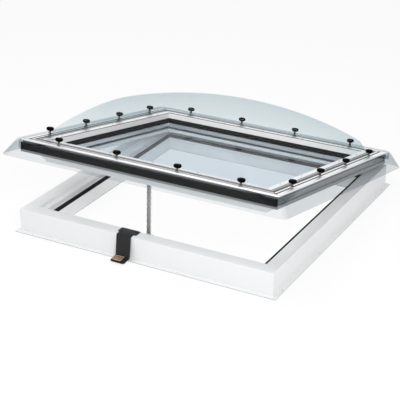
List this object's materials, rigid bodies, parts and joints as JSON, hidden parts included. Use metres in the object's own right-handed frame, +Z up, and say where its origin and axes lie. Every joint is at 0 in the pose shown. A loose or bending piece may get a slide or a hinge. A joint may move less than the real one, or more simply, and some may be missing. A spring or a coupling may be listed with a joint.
{
  "type": "roof skylight",
  "caption": "Square flat-roof skylight: white kerb, glazed sash hinged at the back and pushed open by a chain, under a clear pillow dome on black knobs.",
  "frame": {"origin": "middle of the kerb, at the level of the underside of its flange", "axes": "+Z up, +X to the right seen from the front, -Y towards the side that opens, hinges at +Y"},
  "size_m": [1.21, 1.2044, 0.4852],
  "materials": {
    "white_plastic": "smooth white window plastic",
    "rail_aluminium": "satin anodised",
    "black_rubber": "matt",
    "window_glass": "clear",
    "clear_acrylic": "clear, glossy",
    "black_plastic": "satin moulded",
    "grey_housing": "satin light grey",
    "zinc_steel": "zinc plated",
    "copper_pad": "dull copper tracks",
    "spacer_metal": "mill",
    "dark_sealant": "matt"
  },
  "bodies": {
    "kerb": {"kerb_frame": "white_plastic", "kerb_gasket": "black_rubber", "actuator_housing": "grey_housing", "actuator_end_caps": "grey_housing", "chain_guide": "grey_housing", "push_chain": "zinc_steel", "rain_sensor_bracket": "black_plastic", "rain_sensor_pad": "copper_pad", "hinge_kerb_leaf_left": "zinc_steel", "hinge_kerb_leaf_right": "zinc_steel", "hinge_pin_left": "zinc_steel", "hinge_pin_right": "zinc_steel"},
    "sash": {"sash_frame": "white_plastic", "sash_rail_front": "rail_aluminium", "sash_rail_back": "rail_aluminium", "sash_rail_left": "rail_aluminium", "sash_rail_right": "rail_aluminium", "rail_corner_keys": "black_plastic", "glazing_bead_front": "white_plastic", "glazing_bead_back": "white_plastic", "glazing_bead_left": "white_plastic", "glazing_bead_right": "white_plastic", "glazing_gasket": "black_rubber", "outer_pane": "window_glass", "inner_pane": "window_glass", "spacer_bar": "spacer_metal", "edge_seal": "dark_sealant", "glazing_tape": "dark_sealant", "setting_blocks": "dark_sealant", "front_seal_strip": "black_plastic", "dome": "clear_acrylic", "dome_seal": "black_rubber", "knob_bolts": "zinc_steel", "fixing_knobs": "black_plastic", "hinge_sash_leaf_left": "zinc_steel", "hinge_sash_leaf_right": "zinc_steel", "chain_bracket": "zinc_steel", "chain_head_pin": "zinc_steel"},
    "chain_head": {"chain_head": "zinc_steel"}
  },
  "joints": [
    {"name": "sash_hinge", "type": "hinge", "parent": "kerb", "child": "sash", "pos_m": [0, 0.557, 0.128], "axis": [-1, 0, 0], "range_deg": [-12.1, 0], "deforming": ["push_chain"]},
    {"name": "chain_head_pivot", "type": "hinge", "parent": "sash", "child": "chain_head", "pos_m": [-0.03, -0.42826, 0.27888], "axis": [-1, 0, 0], "range_deg": [-0.5, 10]}
  ],
  "couplings": [
    {"joint": "chain_head_pivot", "follows": "sash_hinge", "ratio": -0.79324}
  ]
}
